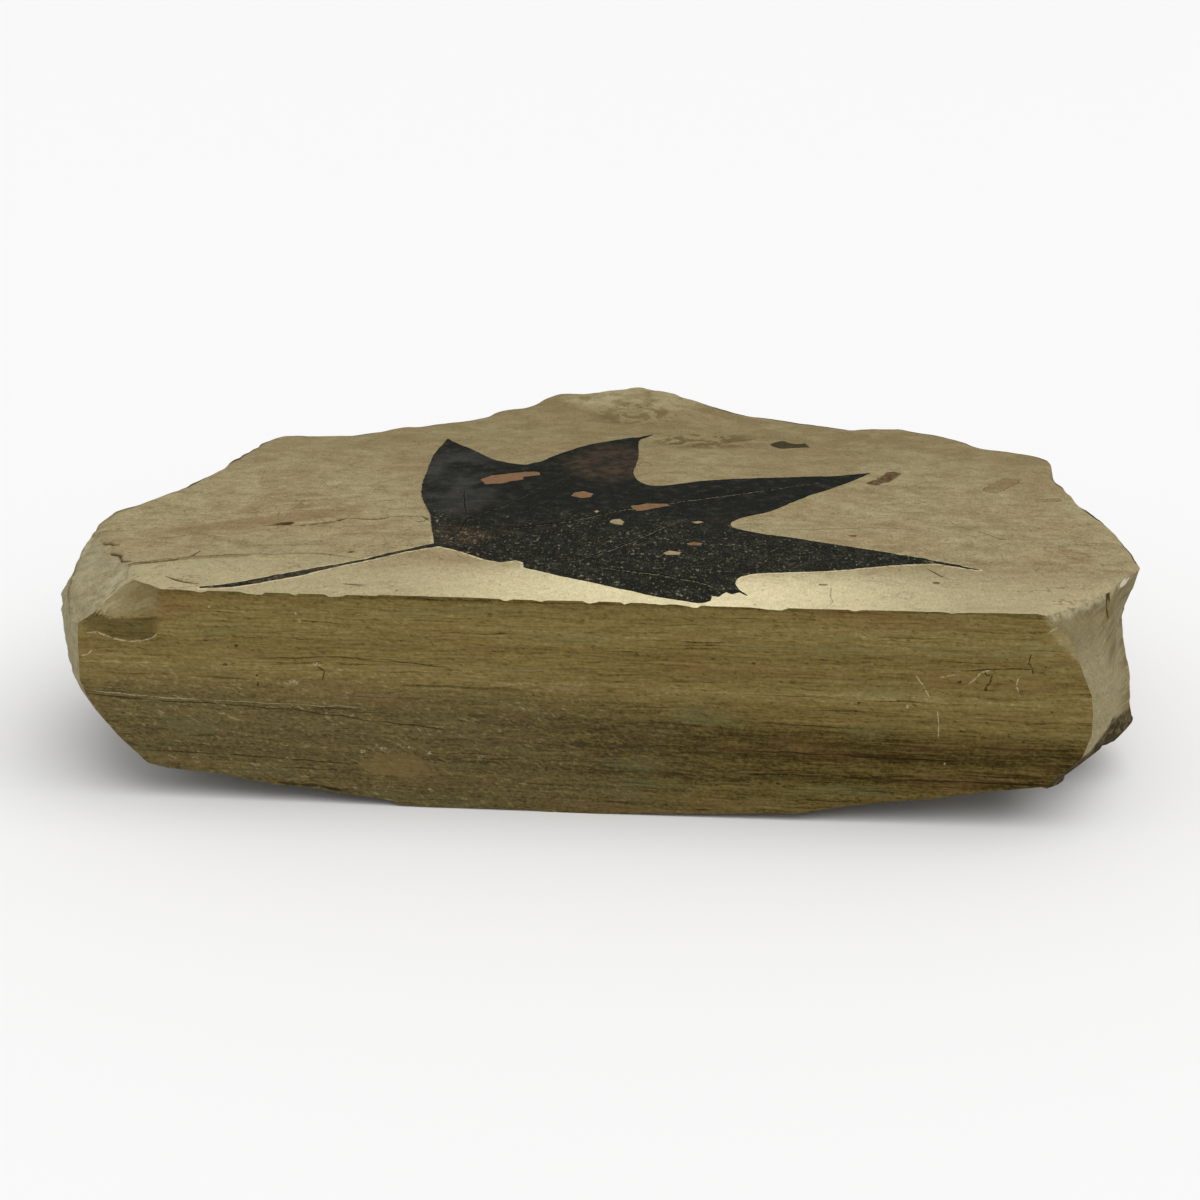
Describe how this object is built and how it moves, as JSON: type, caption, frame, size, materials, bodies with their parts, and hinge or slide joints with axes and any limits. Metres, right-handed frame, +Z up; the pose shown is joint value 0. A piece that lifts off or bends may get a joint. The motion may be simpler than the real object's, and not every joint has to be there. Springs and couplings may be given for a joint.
{
  "type": "fossil leaf plate",
  "caption": "Block of thin-bedded limestone, split along a bedding plane and sawn along one edge, with a lobed fossil leaf pressed flat in its split face.",
  "frame": {"origin": "middle of the block's footprint, on the surface that it rests on", "axes": "+X along the sawn edge, towards the tip of the leaf's right-hand lobe; +Y back from the sawn face; +Z up, out of the split face that carries the leaf"},
  "size_m": [0.3922, 0.289, 0.0855],
  "materials": {
    "limestone": "matte",
    "carbon_film": "matte"
  },
  "bodies": {
    "root": {"limestone_block": "limestone", "leaf": "carbon_film", "leaf_scrap": "carbon_film"}
  },
  "joints": []
}
